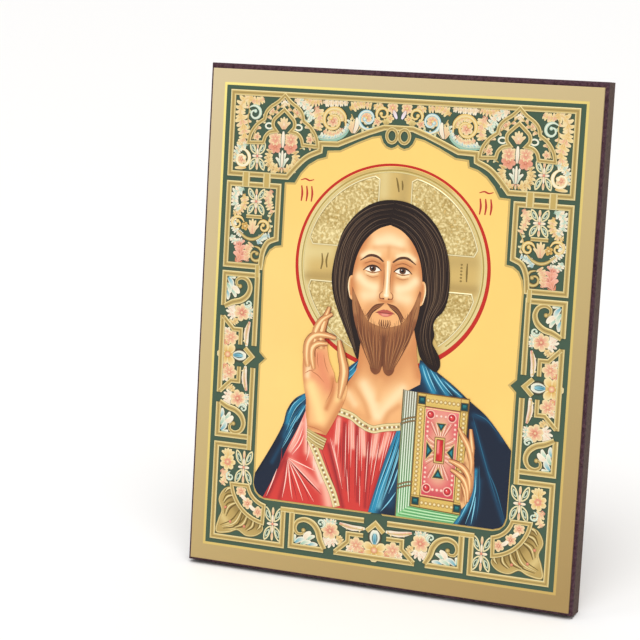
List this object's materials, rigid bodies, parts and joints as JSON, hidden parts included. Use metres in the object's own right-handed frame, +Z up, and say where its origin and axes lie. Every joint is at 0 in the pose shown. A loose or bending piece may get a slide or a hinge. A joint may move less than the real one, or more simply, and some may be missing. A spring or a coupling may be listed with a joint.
{
  "type": "tabletop icon panel with stand",
  "caption": "Upright bevelled board with an embossed gold-foil icon print on its front, moulded brackets on its back and a plug-in foot that holds it leaning back.",
  "frame": {"origin": "on the table, under the centre of the whole object's bounding box", "axes": "+Z up, +X to the right as seen from the front, +Y away from the viewer, towards the foot; the picture faces -Y"},
  "size_m": [0.16, 0.1054, 0.1991],
  "materials": {
    "painted_board": "fibreboard with dark red-brown satin paint on its edges and a printed wood grain on its back",
    "foil_print": "printed and embossed metallised foil on card, satin gold",
    "brown_plastic": "moulded, half gloss"
  },
  "bodies": {
    "root": {"board": "painted_board", "picture_sheet": "foil_print", "upper_bracket": "brown_plastic", "lower_bracket": "brown_plastic", "foot": "brown_plastic"}
  },
  "joints": []
}
